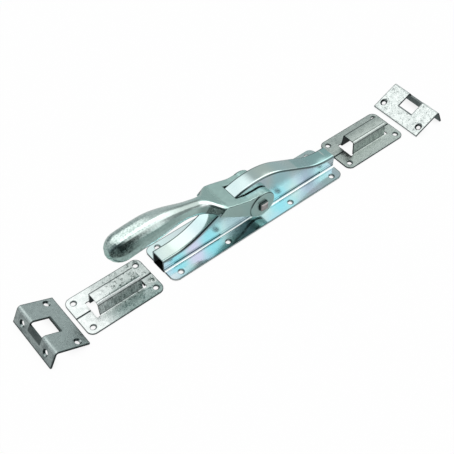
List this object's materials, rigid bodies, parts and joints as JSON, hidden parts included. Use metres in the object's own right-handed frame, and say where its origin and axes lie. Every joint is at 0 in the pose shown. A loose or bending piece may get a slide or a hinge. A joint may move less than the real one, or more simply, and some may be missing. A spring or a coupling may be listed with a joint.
{
  "type": "espagnolette",
  "caption": "Surface-mounted espagnolette: an arched pressed case with a fork lever and club grip that drives rods both ways, with channel rod guides and folded strike plates.",
  "frame": {"origin": "middle of the case's screw holes, on the mounting plane", "axes": "+X along the rods to the right, +Y across the case, +Z away from the door"},
  "size_m": [0.5726, 0.0749, 0.0866],
  "materials": {
    "case_zinc": "zinc plated with a bluish passivation, bright",
    "lever_cast": "cast and galvanised, grey with a teal tint",
    "shaft_steel": "bare steel, riveted ends",
    "bush_brass": "turned brass",
    "drive_steel": "plain zinc-plated steel",
    "stud_steel": "turned steel",
    "left_guide_zinc": "galvanised sheet with spangle",
    "right_guide_zinc": "galvanised sheet with spangle",
    "left_strike_zinc": "zinc plated, mottled",
    "right_strike_zinc": "zinc plated, pale and speckled"
  },
  "bodies": {
    "case": {"housing": "case_zinc", "left_guide": "left_guide_zinc", "right_guide": "right_guide_zinc", "left_strike": "left_strike_zinc", "right_strike": "right_strike_zinc"},
    "lever": {"handle_lever": "lever_cast", "drive_shaft": "shaft_steel", "near_bush": "bush_brass", "far_bush": "bush_brass", "rocker": "drive_steel", "upper_stud": "stud_steel", "lower_stud": "stud_steel"},
    "left_drive": {"left_driver": "drive_steel"},
    "right_drive": {"right_driver": "drive_steel"}
  },
  "joints": [
    {"name": "lever_swing", "type": "hinge", "parent": "case", "child": "lever", "pos_m": [0.003, 0, 0.029], "axis": [0, 1, 0], "range_deg": [0, 90]},
    {"name": "left_driver_slide", "type": "slide", "parent": "case", "child": "left_drive", "axis": [1, 0, 0], "range_m": [0, 0.0285]},
    {"name": "right_driver_slide", "type": "slide", "parent": "case", "child": "right_drive", "axis": [-1, 0, 0], "range_m": [0, 0.0285]}
  ],
  "couplings": [
    {"joint": "left_driver_slide", "follows": "lever_swing", "m_per_rad": 0.018006},
    {"joint": "right_driver_slide", "follows": "lever_swing", "m_per_rad": 0.018006}
  ]
}
